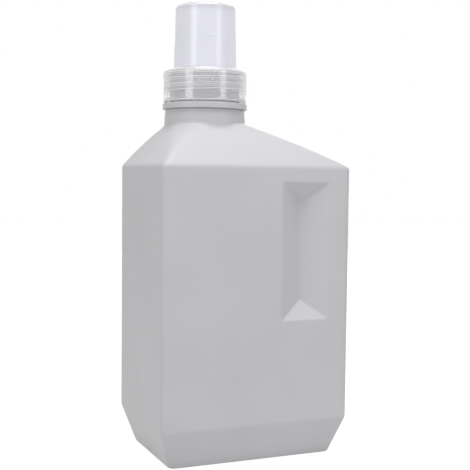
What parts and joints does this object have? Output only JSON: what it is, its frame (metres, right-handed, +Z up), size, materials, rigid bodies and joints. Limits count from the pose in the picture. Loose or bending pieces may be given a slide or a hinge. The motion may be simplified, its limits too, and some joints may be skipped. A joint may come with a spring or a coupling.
{
  "type": "laundry detergent bottle with measuring cap",
  "caption": "Square-shouldered refillable bottle for liquid laundry detergent, with sunk finger grips, a drain-back pour spout and a translucent screw-on measuring cup cap.",
  "frame": {"origin": "middle of the base, on the surface the bottle stands on", "axes": "+Z up, +X to the right seen from the front, the front face with a grip recess on -Y; the neck is shifted towards -X"},
  "size_m": [0.11, 0.0764, 0.25],
  "materials": {
    "bottle_plastic": "fine matt, warm light grey",
    "spout_plastic": "natural milky white",
    "cap_plastic": "semi-gloss, clear milky"
  },
  "bodies": {
    "bottle": {"bottle": "bottle_plastic", "pour_spout": "spout_plastic"},
    "cap": {"measuring_cap": "cap_plastic"}
  },
  "joints": [
    {"name": "cap_lift", "type": "slide", "parent": "bottle", "child": "cap", "axis": [0, 0, 1], "range_m": [0, 0.06]}
  ]
}
